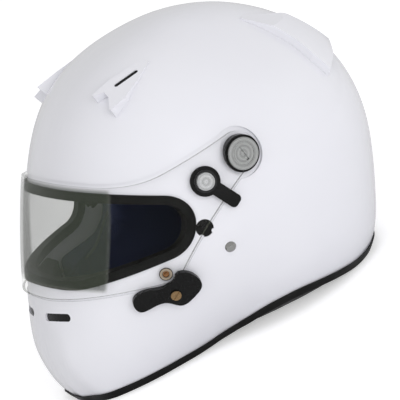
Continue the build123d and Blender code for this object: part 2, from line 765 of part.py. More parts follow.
def latch_lever():
    blank = plane_prism(lever_plane, lever_face(), -OVERRUN, OVERRUN)
    blank &= skin(level(lever_high), level(lever_low))
    bush_room = pin(bush_plane, BUSH_RADIUS + LEVER_GAP, -OVERRUN, OVERRUN)
    return blank - pin(lever_plane, LEVER_BORE_RADIUS, -OVERRUN, OVERRUN) - bush_room


def latch_screw():
    stem = LEVER_BORE_RADIUS - RUNNING_GAP
    head = pin(lever_plane, LEVER_SCREW_RADIUS, lever_high + RUNNING_GAP, lever_high + LEVER_SCREW_HEIGHT)
    slot = lever_plane * Pos(0, 0, lever_high + LEVER_SCREW_HEIGHT) * Rot(Z=LEVER_SLOT_ANGLE) * Box(
        2 * LEVER_SCREW_RADIUS, LEVER_SLOT_WIDTH, 2 * LEVER_SLOT_DEPTH
    )
    return head - slot + pin(lever_plane, stem, -SHELL_SIDE_WALL, lever_high + RUNNING_GAP)


def latch_spacer():
    ring = pin(lever_plane, SPACER_RADIUS, -OVERRUN, OVERRUN)
    ring &= skin(level(lever_low - LEVER_SWING_GAP), level(0))
    return ring - pin(lever_plane, LEVER_BORE_RADIUS - RUNNING_GAP, -OVERRUN, OVERRUN)


def strap_frame():
    """Upright frame on the table line under the strap rivets: X left, Y rearward, Z up."""
    return Pos(0, *rim_place(STRAP_ALONG, 0)) * Rot(X=REST_TILT)


def strap_band(points, radii, extra=0):
    """Flat band along a front-view path, as wide as the strap and an extra on each side."""
    path = FilletPolyline(*points, radius=radii)
    face = trace(path, STRAP_THICKNESS + 2 * extra)
    return strap_frame() * extrude(Plane.XZ * face, STRAP_WIDTH / 2 + extra, both=True)


def strap_reach():
    return [(HALF_WIDTH, STRAP_TURN), (STRAP_X, STRAP_TURN)]


def strap_room():
    """Slot through the left cheek pad for the strap."""
    return strap_band([*strap_reach(), (STRAP_X, STRAP_FOLD_LOW)], [STRAP_BEND], SLOT_ROOM)


def strap_layers():
    outer = moved(SHELL_INSIDE, -STRAP_GAP)
    return outer, moved(outer, -STRAP_THICKNESS)


def strap_upper():
    """Part of the left strap that lies on the shell's inside below the rivet."""
    half = STRAP_WIDTH / 2
    places = [
        rim_place(STRAP_ALONG + across, height)
        for across, height in (
            (-half, STRAP_TURN - STRAP_THICKNESS), (half, STRAP_TURN - STRAP_THICKNESS),
            (half, STRAP_TOP), (-half, STRAP_TOP),
        )
    ]
    return skin(*strap_layers()) & cross_face(make_face(closed(places, 0)), both=False)


def hung_strap(points, radii):
    outer = strap_layers()[0]
    band = strap_band([*strap_reach(), *points], radii) & skin(outer, level(-2 * PAD_DEPTH))
    return joined(strap_upper(), band)


def ring_loop(length, height):
    return Pos(STRAP_X, RING_HEIGHT) * SlotOverall(length, height)


def chin_strap_left():
    """Short strap that ends in a loop round the two rings."""
    room = 2 * (RING_WIRE + RING_PLAY)
    strap = hung_strap([(STRAP_X, RING_HEIGHT + room / 2)], [STRAP_BEND])
    inner = ring_loop(RING_SPACING + room, room)
    outer = ring_loop(RING_SPACING + room + 2 * STRAP_THICKNESS, room + 2 * STRAP_THICKNESS)
    loop = extrude(Plane.XZ * (outer - inner), STRAP_WIDTH / 2, both=True)
    hole = extrude(Plane.XZ * inner, STRAP_WIDTH, both=True)
    return joined(strap, strap_frame() * loop) - strap_frame() * hole


def chin_strap_right():
    """Long strap, its end folded up; drawn on the left and mirrored."""
    fold_x = STRAP_X - STRAP_FOLD_GAP - STRAP_THICKNESS
    points = [(STRAP_X, STRAP_FOLD_LOW), (fold_x, STRAP_FOLD_LOW), (fold_x, STRAP_FOLD_TOP)]
    turn = (STRAP_FOLD_GAP + STRAP_THICKNESS) / 2 - RING_PLAY
    return mirrored(hung_strap(points, [STRAP_BEND, turn, turn]))


def d_ring(side):
    """Wire ring with a straight bar, hung in the strap's loop."""
    place = strap_frame() * Pos(STRAP_X + side * RING_SPACING / 2, 0, RING_HEIGHT)
    bow = Rot(Y=90) * Torus(RING_RADIUS, RING_WIRE)
    size = 2 * (RING_RADIUS + RING_WIRE)
    bow &= Pos(0, 0, -size / 2) * Box(size, size, size)
    bar = Rot(X=90) * Cylinder(RING_WIRE, 2 * RING_RADIUS)
    corners = [Pos(0, end * RING_RADIUS, 0) * Sphere(RING_WIRE) for end in (-1, 1)]
    return place * joined(bow, bar, *corners)


def build():
    shell = outer_shell()
    parts["outer_shell"] = shell
    parts["rim_trim"] = rim_trim(shell)
    parts["eyeport_gasket"] = eyeport_gasket()
    parts["visor"] = visor()
    port = side_prism(port_outline())
    inside = moved(SHELL_INSIDE, -LINER_GAP)
    nut_room = pivot_cylinder(NUT_RADIUS + LINER_GAP, nut_x - LINER_GAP, head_top)
    pads = cross_face(liner_face()) & above_table(ROLL_HEIGHT + PAD_GAP)
    liner = (skin(inside, level(-EPS_DEPTH)) & pads) - port
    parts["eps_liner"] = largest(liner - nut_room - mirrored(nut_room))
    crown = cross_face(offset(liner_face(), -COMFORT_BORDER)) & above_table(ROLL_HEIGHT + COMFORT_BORDER)
    comfort_inside = -EPS_DEPTH - LINER_GAP - COMFORT_THICKNESS
    comfort = skin(level(-EPS_DEPTH - LINER_GAP), level(comfort_inside)) & crown
    furrow = Pos(CHANNEL_X, 0, 0) * Box(CHANNEL_WIDTH, 2 * CUT_REACH, 2 * CUT_REACH)
    furrow &= skin(level(comfort_inside + CHANNEL_DEPTH), level(comfort_inside - OVERRUN))
    parts["comfort_liner"] = comfort - furrow - mirrored(furrow)
    way = neck_way()
    parts["chin_eps"] = (
        skin(inside, level(-CHIN_EPS_DEPTH)) & cross_face(chin_face()) & above_rim(-LINER_GAP)
    ) - port - way
    pad_layer = moved(SHELL_INSIDE, -TRIM_LIP - PAD_CLEARANCE)
    pad = skin(pad_layer, level(-PAD_DEPTH)) & cross_face(pad_face(), both=False)
    border = cross_face(pad_face() - offset(pad_face(), -PAD_STEP), both=False)
    border &= skin(level(-PAD_BORDER_DEPTH), level(-PAD_DEPTH - OVERRUN))
    roll_room = behind(ROLL_START - PAD_GAP) - above_table(ROLL_HEIGHT + PAD_GAP)
    pad = largest((pad & above_table(PAD_LIFT)) - way - border - strap_room() - roll_room)
    parts["cheek_pad_left"], parts["cheek_pad_right"] = pad, mirrored(pad)
    parts["neck_roll"] = neck_roll(pad_layer)
    duct, insert = forehead_duct()
    diffuser, pocket, outlet = rear_diffuser()
    pairs = {
        "pivot_base": pivot_base(), "pivot_screw": pivot_screw(), "pivot_nut": pivot_nut(),
        "forehead_duct": duct, "duct_slider": insert,
        "rear_diffuser": diffuser - pocket, "exhaust_insert": (outlet & diffuser),
        "chin_vent": vent_face() & skin(level(-CHIN_VENT_SINK), SHELL_INSIDE),
        "temple_plug": plane_prism(plug_plane, plug_face(), -OVERRUN, OVERRUN)
        & skin(level(-RECESS_DEPTH - PLUG_SINK), SHELL_INSIDE),
        "strap_rivet": strap_rivet(), "tearoff_post": tearoff_post(), "post_plate": post_plate(),
    }
    for name, shape in pairs.items():
        parts[name + "_left"], parts[name + "_right"] = shape, mirrored(shape)
    parts["chin_strap_left"] = chin_strap_left()
    parts["chin_strap_right"] = chin_strap_right()
    parts["d_ring_inner"] = d_ring(-1)
    parts["d_ring_outer"] = d_ring(1)
    parts["latch_bush"] = latch_bush()
    parts["latch_lever"] = latch_lever()
    parts["latch_screw"] = latch_screw()
    parts["latch_spacer"] = latch_spacer()


build()

# Tip the helmet back onto its rim and centre its bounding box over the origin
tip = Rot(X=-REST_TILT)
stand = {name: tip * shape for name, shape in parts.items()}
boxes = [shape.bounding_box() for shape in stand.values()]
middle_y = (min(box.min.Y for box in boxes) + max(box.max.Y for box in boxes)) / 2
low_point = tip * Pos(0, *rim_place(0, 0))
table_z = low_point.position.Z
os.makedirs("parts", exist_ok=True)
for name, shape in stand.items():
    export_step(Pos(0, -middle_y, -table_z) * shape, f"parts/{name}.step")
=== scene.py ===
import math

import bmesh
import bpy
from mathutils import Matrix, Vector
from mathutils.bvhtree import BVHTree


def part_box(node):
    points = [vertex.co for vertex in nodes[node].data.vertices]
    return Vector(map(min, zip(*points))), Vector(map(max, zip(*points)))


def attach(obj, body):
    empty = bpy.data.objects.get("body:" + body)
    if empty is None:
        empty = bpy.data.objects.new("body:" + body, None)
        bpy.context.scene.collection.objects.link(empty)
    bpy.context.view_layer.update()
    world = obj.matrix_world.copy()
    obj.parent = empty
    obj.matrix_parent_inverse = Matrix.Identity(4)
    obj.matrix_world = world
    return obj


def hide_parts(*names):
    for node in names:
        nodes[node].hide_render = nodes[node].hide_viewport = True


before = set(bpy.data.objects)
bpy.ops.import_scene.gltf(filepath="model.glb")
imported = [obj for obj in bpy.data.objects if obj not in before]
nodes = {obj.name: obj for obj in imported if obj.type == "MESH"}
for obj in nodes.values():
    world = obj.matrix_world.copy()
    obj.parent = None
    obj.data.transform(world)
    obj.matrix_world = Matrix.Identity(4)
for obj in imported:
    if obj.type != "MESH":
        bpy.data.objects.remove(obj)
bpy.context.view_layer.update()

scene = bpy.context.scene
scene.view_settings.view_transform = "Standard"

# The helmet is drawn in a level frame and tipped back onto its rim, as in the CAD.
TILT = math.radians(27)
SHIFT = Vector((0, 0.021836, 0.098121))
X_DIRECTION = Vector((1, 0, 0))
Z_DIRECTION = Vector((0, 0, 1))
SIDES = (("left", 1), ("right", -1))


def tipped(v):
    """Level-frame direction to the row frame."""
    x, y, z = v
    return Vector((x, y * math.cos(TILT) + z * math.sin(TILT), -y * math.sin(TILT) + z * math.cos(TILT)))


def placed(v):
    """Level-frame point in metres to the row frame."""
    return tipped(v) + SHIFT


# Camera at the photograph's angle; its focal length and centre are in pixels
AZIMUTH, ELEVATION, ROLL = math.radians(66.358), math.radians(5.359), math.radians(-0.36)
DISTANCE = 2.5
FOCAL = 3185.0
PICTURE_SIZE = 400
PICTURE_CENTRE = (205.892, 181.276)
SENSOR_WIDTH = 36
CLIP_END = 50
back = Vector((
    math.sin(AZIMUTH) * math.cos(ELEVATION), -math.cos(AZIMUTH) * math.cos(ELEVATION), math.sin(ELEVATION)
))
right = Vector((math.cos(AZIMUTH), math.sin(AZIMUTH), 0))
up = back.cross(right)
right, up = right * math.cos(ROLL) + up * math.sin(ROLL), up * math.cos(ROLL) - right * math.sin(ROLL)
back, right, up = tipped(back), tipped(right), tipped(up)
camera_data = bpy.data.cameras.new("camera")
camera = bpy.data.objects.new("camera", camera_data)
scene.collection.objects.link(camera)
turn = Matrix((right, up, back)).transposed().to_4x4()
camera.matrix_world = Matrix.Translation(SHIFT + back * DISTANCE) @ turn
camera_data.sensor_fit = "HORIZONTAL"
camera_data.sensor_width = SENSOR_WIDTH
camera_data.lens = FOCAL / PICTURE_SIZE * SENSOR_WIDTH
camera_data.shift_x = (PICTURE_SIZE / 2 - PICTURE_CENTRE[0]) / PICTURE_SIZE
camera_data.shift_y = (PICTURE_CENTRE[1] - PICTURE_SIZE / 2) / PICTURE_SIZE
camera_data.clip_end = CLIP_END
scene.camera = camera


class Shader:
    """Small builder for one Principled material."""

    def __init__(self, name, **values):
        self.material = bpy.data.materials.new(name)
        self.material.use_nodes = True
        self.tree = self.material.node_tree
        self.shader = self.tree.nodes["Principled BSDF"]
        for key, value in values.items():
            self.shader.inputs[key.replace("_", " ")].default_value = value
        self.spot = self.tree.nodes.new("ShaderNodeTexCoord").outputs["Object"]

    def add(self, kind, values=None, **props):
        node = self.tree.nodes.new("ShaderNode" + kind)
        for key, value in props.items():
            setattr(node, key, value)
        for key, value in (values or {}).items():
            if isinstance(value, bpy.types.NodeSocket):
                self.tree.links.new(value, node.inputs[key])
            else:
                node.inputs[key].default_value = value
        return node

    def noise(self, scale, detail=3.0, rough=0.5):
        values = {"Vector": self.spot, "Scale": scale, "Detail": detail, "Roughness": rough}
        return self.add("TexNoise", values).outputs["Fac"]

    def ramp(self, fac, stops):
        node = self.add("ValToRGB", {"Fac": fac})
        for element, (position, color) in zip(node.color_ramp.elements, stops):
            element.position = position
            element.color = (*color, 1)
        return node.outputs["Color"]

    def greys(self, fac, *stops):
        return self.ramp(fac, [(position, (grey,) * 3) for position, grey in stops])

    def math(self, operation, *values):
        return self.add("Math", dict(enumerate(values)), operation=operation).outputs[0]

    def vector(self, operation, *values, output="Vector", **named):
        inputs = {**dict(enumerate(values)), **named}
        return self.add("VectorMath", inputs, operation=operation).outputs[output]

    def rise(self, value, low, high, start=0.0, end=1.0):
        """From start at the low value to end at the high one."""
        return self.add("MapRange", {0: value, 1: low, 2: high, 3: start, 4: end}).outputs[0]

    def mix(self, fac, a, b):
        return self.add("Mix", {0: fac, 6: a, 7: b}, data_type="RGBA").outputs[2]

    def set(self, socket, value):
        self.tree.links.new(value, self.shader.inputs[socket])

    def bump(self, height, strength, distance):
        node = self.add("Bump", {"Height": height, "Strength": strength, "Distance": distance})
        self.set("Normal", node.outputs["Normal"])

    def waves(self, direction, rotation, scale, **values):
        """Bands along a direction of the turned coordinates."""
        vector = self.add("Mapping", {"Vector": self.spot, "Rotation": rotation}).outputs["Vector"]
        inputs = {"Vector": vector, "Scale": scale, **values}
        return self.add("TexWave", inputs, bands_direction=direction).outputs["Fac"]


def paint_white():
    s = Shader("white_paint", Roughness=0.16, Coat_Weight=0.6, Coat_Roughness=0.04, IOR=1.5)
    deep, pale = (0.76, 0.76, 0.81), (0.79, 0.79, 0.835)
    s.set("Base Color", s.ramp(s.noise(9.0, detail=2.0), [(0.3, deep), (0.7, pale)]))
    s.set("Roughness", s.greys(s.noise(60.0, detail=4.0), (0.3, 0.13), (0.75, 0.19)))
    s.bump(s.noise(420.0, detail=2.0), strength=0.02, distance=0.0004)
    return s.material


# How much the clear visor covers: face on, more at a full slant as painted reflection, more under the film,
# and at cut edges
CLEAR_HAZE = 0.004
SLANT_REFLECTION_HAZE = 0.25
SLANT_POWER = 4.0
FILM_HAZE = 0.31
EDGE_HAZE = 0.6
FILM_TINT = (0.058, 0.072, 0.048, 1)
EDGE_TINT = (0.15, 0.16, 0.125, 1)
# In the level frame the film lies ahead of an upright plane and between two heights; its rims fade out.
LEVEL_UP = tipped((0, 0, 1))
LEVEL_FRONT = tipped((0, -1, 0))
FILM_EDGE = placed((0.081, -0.1155, 0.0)).dot(LEVEL_FRONT)
FILM_LOW = -0.0705
FILM_HIGH = 0.003
FILM_FADE = 0.003
FILM_EDGE_FADE = 0.002
# Spokes from the head's middle, flattened in height, run along the normals of the visor's faces and
# across those of its cut edges.
SPOKE_FLATTENING = -0.7
EDGE_FACING, FACE_FACING = 0.45, 0.6


def clear_sheet():
    """Clear sheet: see-through face on, paler at a slant as painted reflection in its grey tone, a faint film
    over its front, olive cut edges.
    """
    s = Shader("clear_polycarbonate", IOR=1.58, Alpha=0.08)
    # Grey tone, varying at random, that shows mostly at a slant as painted reflection
    deep, pale = (0.40, 0.42, 0.36), (0.46, 0.48, 0.42)
    tone = s.ramp(s.noise(6.0, detail=1.0), [(0.3, deep), (0.7, pale)])
    s.set("Roughness", s.greys(s.noise(30.0), (0.4, 0.02), (0.8, 0.05)))
    normal = s.add("NewGeometry").outputs["Normal"]
    away = s.vector("SUBTRACT", s.spot, tuple(SHIFT))
    height = s.vector("DOT_PRODUCT", away, tuple(LEVEL_UP), output="Value")
    lift = s.vector("SCALE", tuple(LEVEL_UP), Scale=s.math("MULTIPLY", height, SPOKE_FLATTENING))
    spoke = s.vector("NORMALIZE", s.vector("ADD", away, lift))
    facing = s.math("ABSOLUTE", s.vector("DOT_PRODUCT", spoke, normal, output="Value"))
    edge = s.rise(facing, EDGE_FACING, FACE_FACING, 1.0, 0.0)
    # Paler at a slant: painted reflection of the pale surroundings, shown in the grey tone
    slant_reflection = s.add("LayerWeight", {"Blend": 0.5}).outputs["Facing"]
    slant_reflection = s.math("MULTIPLY", s.math("POWER", slant_reflection, SLANT_POWER), SLANT_REFLECTION_HAZE)
    front = s.vector("DOT_PRODUCT", s.spot, tuple(LEVEL_FRONT), output="Value")
    ahead = s.rise(front, FILM_EDGE, FILM_EDGE + FILM_EDGE_FADE)
    below = s.rise(height, FILM_HIGH, FILM_HIGH + FILM_FADE, 1.0, 0.0)
    above = s.rise(height, FILM_LOW - FILM_FADE, FILM_LOW)
    film = s.math("MULTIPLY", ahead, s.math("MULTIPLY", above, below))
    s.set("Base Color", s.mix(edge, s.mix(film, tone, FILM_TINT), EDGE_TINT))
    haze = s.math("MULTIPLY_ADD", film, FILM_HAZE, s.math("ADD", slant_reflection, CLEAR_HAZE))
    s.set("Alpha", s.math("MAXIMUM", haze, s.math("MULTIPLY", edge, EDGE_HAZE)))
    return s.material


def rubber(name, low, high, grain=900.0, rough=(0.5, 0.68)):
    s = Shader(name, Specular_IOR_Level=0.2)
    s.set("Base Color", s.greys(s.noise(25.0, detail=4.0), (0.35, low), (0.7, high)))
    s.set("Roughness", s.greys(s.noise(80.0, detail=4.0), (0.3, rough[0]), (0.7, rough[1])))
    s.bump(s.noise(grain, detail=4.0, rough=0.6), strength=0.25, distance=0.0003)
    return s.material


def moulded(name, low, high, rough):
    s = Shader(name, Specular_IOR_Level=0.22)
    s.set("Base Color", s.greys(s.noise(40.0, detail=4.0), (0.35, low), (0.7, high)))
    s.set("Roughness", s.greys(s.noise(140.0, detail=4.0), (0.3, rough[0]), (0.7, rough[1])))
    s.bump(s.noise(1500.0, rough=0.6), strength=0.12, distance=0.0002)
    return s.material


# Turned metal: rings to a metre, then the swing and the mean of its tone between a darkened colour and
# the full one. The fine rings are turning marks whose tone swing is partly painted reflection; the slow
# bands are painted reflection.
DISC_RINGS = 900.0
FINE_RINGS = 1400.0
REFLECTION_BAND_RINGS = 300.0
RING_AND_REFLECTION_CONTRAST = 0.16
RING_TONE = 0.6
RING_DARKEST_SHARE = 0.3
RING_WOBBLE = 0.0006
RING_ROUGH, RING_ROUGH_SWING = 0.26, 0.08
# Black beyond a rim: the real collar on the tear-off posts, painted shadow round the latch bush
COLLAR_AND_SHADOW_BLACK = (0.006, 0.006, 0.007, 1)


def turned(name, color, centre, axis, rings, rim=None):
    """Metal turned on a lathe: fine rings round an axis in the row frame, their tone swing partly painted
    reflection, slow bands of painted reflection, black beyond a rim radius (a real collar on the posts,
    painted shadow round the bush).
    """
    s = Shader(name, Metallic=1.0)
    away = s.vector("SUBTRACT", s.spot, tuple(centre))
    along = s.vector("DOT_PRODUCT", away, tuple(axis), output="Value")
    radial = s.vector("SUBTRACT", away, s.vector("SCALE", tuple(axis), Scale=along))
    length = s.vector("LENGTH", radial, output="Value")
    # Fine turning rings, slightly wobbled; their tone swing is partly painted reflection
    wobble = s.math("MULTIPLY", s.noise(300.0), RING_WOBBLE)
    wave = s.math("SINE", s.math("MULTIPLY", s.math("ADD", length, wobble), rings * math.tau))
    # Slow bands of lighter and darker tone: painted reflection
    reflection_band = s.math("SINE", s.math("MULTIPLY", length, REFLECTION_BAND_RINGS * math.tau))
    share = s.math("MULTIPLY_ADD", reflection_band, RING_AND_REFLECTION_CONTRAST, RING_TONE)
    share = s.math("MULTIPLY_ADD", wave, RING_AND_REFLECTION_CONTRAST, share)
    tone = s.mix(share, (*[c * RING_DARKEST_SHARE for c in color], 1), (*color, 1))
    if rim:
        # Black beyond the rim: the tear-off posts' real collar, painted shadow round the latch bush
        collar_and_shadow = s.math("GREATER_THAN", length, rim)
        tone = s.mix(collar_and_shadow, tone, COLLAR_AND_SHADOW_BLACK)
        s.set("Metallic", s.math("SUBTRACT", 1.0, collar_and_shadow))
    s.set("Base Color", tone)
    s.set("Roughness", s.math("MULTIPLY_ADD", wave, RING_ROUGH_SWING, RING_ROUGH))
    s.bump(wave, strength=0.18, distance=0.0002)
    return s.material


METAL_DARK_SHARE = 0.82


def metal(name, color, rough=(0.2, 0.36)):
    s = Shader(name, Metallic=1.0)
    dark = tuple(c * METAL_DARK_SHARE for c in color)
    s.set("Base Color", s.ramp(s.noise(120.0, detail=5.0), [(0.3, dark), (0.65, color)]))
    s.set("Roughness", s.greys(s.noise(500.0, detail=4.0), (0.3, rough[0]), (0.7, rough[1])))
    s.bump(s.noise(900.0), strength=0.08, distance=0.0002)
    return s.material


def bead_foam():
    s = Shader("bead_foam", Roughness=0.75)
    cells = s.add("TexVoronoi", {"Vector": s.spot, "Scale": 330.0}, feature="DISTANCE_TO_EDGE")
    edge = cells.outputs["Distance"]
    s.set("Base Color", s.ramp(edge, [(0.0, (0.012, 0.012, 0.014)), (0.2, (0.035, 0.035, 0.04))]))
    s.bump(edge, strength=0.5, distance=0.0006)
    return s.material


MESH_SCALE = 620.0
MESH_TURN = math.radians(45)
MESH_HOLE_SHARE = 0.35
MESH_BLOTCH_SHARE = 0.55


def mesh_cloth(name, deep, light):
    """Spacer mesh: a close net of small holes with a soft sheen."""
    s = Shader(name, Roughness=0.85, Sheen_Weight=0.35, Sheen_Roughness=0.5, Sheen_Tint=(*light, 1))
    turns = [(a, a / 2, a) for a in (MESH_TURN, -MESH_TURN)]
    net = s.math("MAXIMUM", *[s.waves("X", turn, MESH_SCALE, Distortion=0.4, Detail=1.0) for turn in turns])
    blotch = s.math("MULTIPLY", s.noise(22.0), MESH_BLOTCH_SHARE)
    base = s.ramp(net, [(0.25, tuple(c * MESH_HOLE_SHARE for c in deep)), (0.8, light)])
    s.set("Base Color", s.mix(blotch, base, (*deep, 1)))
    s.bump(net, strength=0.6, distance=0.0005)
    return s.material


WEAVE_SCALE = 700.0
WEAVE_TURN = (0.3, 0.2, 0.6)


def brushed_cloth(name, low, high):
    s = Shader(name, Roughness=0.9, Sheen_Weight=0.25, Sheen_Roughness=0.5)
    s.set("Base Color", s.ramp(s.noise(60.0, detail=5.0), [(0.3, low), (0.7, high)]))
    s.bump(s.waves("DIAGONAL", WEAVE_TURN, WEAVE_SCALE, Distortion=1.0), strength=0.4, distance=0.0004)
    return s.material


white = paint_white()
clear = clear_sheet()
gasket_rubber = rubber("gasket_rubber", 0.002, 0.005)
trim_rubber = rubber("trim_rubber", 0.003, 0.007, grain=700.0, rough=(0.38, 0.55))
black_plastic = moulded("black_plastic", 0.002, 0.005, rough=(0.22, 0.34))
foam = bead_foam()
navy = mesh_cloth("navy_mesh", (0.016, 0.022, 0.07), (0.07, 0.09, 0.2))
liner_navy = mesh_cloth("liner_mesh", (0.014, 0.020, 0.042), (0.03, 0.042, 0.085))
black_cloth = brushed_cloth("black_cloth", (0.008, 0.008, 0.009), (0.022, 0.022, 0.024))
piping_cloth = brushed_cloth("piping_cloth", (0.06, 0.065, 0.09), (0.12, 0.13, 0.17))
brass = metal("worn_brass", (0.36, 0.235, 0.12))
copper = metal("worn_copper", (0.40, 0.20, 0.09))
steel = metal("polished_steel", (0.40, 0.40, 0.39), rough=(0.08, 0.2))

DISC_TONE = (0.62, 0.63, 0.62)
POST_TONE = (0.95, 0.96, 0.97)
POST_RIM = 0.0068
# The way the left tear-off post points in the level frame; the right one mirrors it
POST_AXIS = (0.965, -0.258, 0.046)
# The latch bush in the visor's corner: its centre on the shell and the way it points
BUSH_PLACE = placed((0.10249, -0.078, -0.0565))
BUSH_AXIS = tipped((0.89695, -0.33907, -0.28375))
BUSH_TONE = (0.60, 0.50, 0.38)
# Radius beyond which the bush is black: painted shadow round its rim
BUSH_SHADOW_RIM = 0.0046


def middle(node):
    """Middle of a node's box."""
    low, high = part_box(node)
    return (Vector(low) + Vector(high)) / 2


lathed = {}
for side, sign in SIDES:
    disc, post = "pivot_screw_" + side, "tearoff_post_" + side
    lathed[disc] = turned("turned_disc_" + side, DISC_TONE, middle(disc), X_DIRECTION, DISC_RINGS)
    axis = tipped((sign * POST_AXIS[0], *POST_AXIS[1:])).normalized()
    lathed[post] = turned("turned_post_" + side, POST_TONE, middle(post), axis, FINE_RINGS, rim=POST_RIM)
lathed["latch_bush"] = turned("turned_bush", BUSH_TONE, BUSH_PLACE, BUSH_AXIS, FINE_RINGS, rim=BUSH_SHADOW_RIM)

# Material of each node by how its name starts; the last line takes the rest
MATERIALS = (
    ("outer_shell", white), ("forehead_duct", white), ("rear_diffuser", white),
    ("visor", clear),
    ("rim_trim", trim_rubber), ("eyeport_gasket", gasket_rubber),
    ("eps_liner", foam), ("chin_eps", foam),
    ("comfort_liner", liner_navy), ("cheek_pad", navy),
    ("neck_roll", black_cloth), ("chin_strap", black_cloth),
    ("latch_screw", brass),
    ("strap_rivet", steel), ("pivot_nut", steel), ("d_ring", steel),
    ("", black_plastic),
)
for name, obj in nodes.items():
    material = lathed.get(name) or next(m for start, m in MATERIALS if name.startswith(start))
    if not obj.material_slots:
        obj.data.materials.append(material)
    for place in obj.material_slots:
        place.link = "OBJECT"
        place.material = material


def adopt(name, mesh, material, slot, *replaced, body="root"):
    """New piece on a body that stands for CAD nodes."""
    piece = bpy.data.objects.new(name, mesh)
    scene.collection.objects.link(piece)
    mesh.materials.clear()
    mesh.materials.append(material)
    mesh.shade_smooth()
    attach(piece, body)
    if replaced:
        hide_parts(*replaced)
    return piece


def work_piece(mesh):
    piece = bpy.data.objects.new("work", mesh)
    scene.collection.objects.link(piece)
    return piece


def baked(piece):
    """Mesh of a work piece with its modifiers applied; the piece itself goes."""
    bpy.context.view_layer.update()
    graph = bpy.context.evaluated_depsgraph_get()
    mesh = bpy.data.meshes.new_from_object(piece.evaluated_get(graph))
    bpy.data.objects.remove(piece)
    return mesh


SMOOTH_STEPS = 4
CLOTH_FRAMES = 20
CLOTH_QUALITY = 5
CLOTH_PRESSURE = 4.0
CLOTH_STRETCH = 12
CLOTH_BEND = 0.4


def smoothed_remesh(mesh, voxel, shrink):
    """Voxel remesh of a copy, relaxed and drawn in along its normals."""
    piece = work_piece(mesh)
    remesh = piece.modifiers.new("remesh", "REMESH")
    remesh.mode = "VOXEL"
    remesh.voxel_size = voxel
    piece.modifiers.new("smooth", "SMOOTH").iterations = SMOOTH_STEPS
    done = baked(piece)
    normals = [vertex.normal.copy() for vertex in done.vertices]
    for vertex, normal in zip(done.vertices, normals):
        vertex.co -= normal * shrink
    return done


def inflated(mesh, cap):
    """Cloth with pressure on a closed mesh; no point moves more than the cap."""
    piece = work_piece(mesh)
    cloth = piece.modifiers.new("cloth", "CLOTH")
    cloth.settings.quality = CLOTH_QUALITY
    cloth.settings.use_pressure = True
    cloth.settings.uniform_pressure_force = CLOTH_PRESSURE
    cloth.settings.effector_weights.gravity = 0
    cloth.settings.tension_stiffness = CLOTH_STRETCH
    cloth.settings.compression_stiffness = CLOTH_STRETCH
    cloth.settings.bending_stiffness = CLOTH_BEND
    cloth.point_cache.frame_start = 1
    cloth.point_cache.frame_end = CLOTH_FRAMES
    for step in range(1, CLOTH_FRAMES + 1):
        scene.frame_set(step)
    swollen = baked(piece)
    scene.frame_set(1)
    for before, after in zip(mesh.vertices, swollen.vertices):
        move = after.co - before.co
        if move.length > cap:
            after.co = before.co + move.normalized() * cap
    return swollen


def subdivided(mesh):
    piece = work_piece(mesh)
    piece.modifiers.new("subdivision", "SUBSURF").levels = 1
    return baked(piece)


def cushion(name, node, material, slot, voxel, shrink, cap):
    mesh = smoothed_remesh(nodes[node].data.copy(), voxel, shrink)
    piece = adopt(name, subdivided(inflated(mesh, cap)), material, slot, node)
    return piece


pads = {}
for side, _ in SIDES:
    pads[side] = cushion(
        "cheek_cushion_" + side, "cheek_pad_" + side, navy, "navy_mesh", voxel=0.005, shrink=0.003, cap=0.0035
    )
cushion("crown_cushion", "comfort_liner", liner_navy, "navy_mesh", voxel=0.004, shrink=0.001, cap=0.002)
cushion("nape_cushion", "neck_roll", black_cloth, "black_fabric", voxel=0.004, shrink=0.0015, cap=0.002)


def finished_mesh(form, name):
    bmesh.ops.recalc_face_normals(form, faces=form.faces)
    mesh = bpy.data.meshes.new(name)
    form.to_mesh(mesh)
    form.free()
    return mesh


def neighbours(points, index, closed_path=False):
    """The points after and before the one at the index."""
    count = len(points)
    if closed_path:
        return points[(index + 1) % count], points[index - 1]
    return points[min(index + 1, count - 1)], points[max(index - 1, 0)]


def join_rings(form, rings, closed_path=False):
    """Faces between rings of points, with end caps unless the path is closed."""
    pairs = list(zip(rings, rings[1:])) + ([(rings[-1], rings[0])] if closed_path else [])
    for low, high in pairs:
        for k in range(len(low)):
            after = (k + 1) % len(low)
            form.faces.new((low[k], low[after], high[after], high[k]))
    if not closed_path:
        form.faces.new(rings[0])
        form.faces.new(rings[-1][::-1])


def ring(form, centre, radius, side, top, count):
    turns = [math.tau * k / count for k in range(count)]
    return [form.verts.new(centre + radius * (side * math.cos(a) + top * math.sin(a))) for a in turns]


TUBE_SIDES = 8
LATHE_SIDES = 24
NEARLY_ALONG_X = 0.9


def tube(name, points, radius, material, slot):
    """Round cord along points, as a mesh."""
    form = bmesh.new()
    rings = []
    for index, point in enumerate(points):
        ahead, behind = neighbours(points, index)
        tangent = (ahead - behind).normalized()
        side = tangent.cross(X_DIRECTION if abs(tangent.x) < NEARLY_ALONG_X else Z_DIRECTION).normalized()
        rings.append(ring(form, point, radius, side, side.cross(tangent), TUBE_SIDES))
    join_rings(form, rings)
    return adopt(name, finished_mesh(form, name), material, slot)


def lathe(name, centre, axis, profile, material, slot, body):
    """Solid turned about an axis from pairs of radius and height."""
    side = axis.cross(Z_DIRECTION).normalized()
    top = side.cross(axis)
    form = bmesh.new()
    rings = []
    for radius, height in profile:
        spot = centre + axis * height
        rings.append(ring(form, spot, radius, side, top, LATHE_SIDES) if radius else [form.verts.new(spot)])
    for low, high in zip(rings, rings[1:]):
        for k in range(LATHE_SIDES):
            after = (k + 1) % LATHE_SIDES
            if len(low) == 1:
                form.faces.new((low[0], high[k], high[after]))
            elif len(high) == 1:
                form.faces.new((low[k], low[after], high[0]))
            else:
                form.faces.new((low[k], low[after], high[after], high[k]))
    return adopt(name, finished_mesh(form, name), material, slot, body=body)


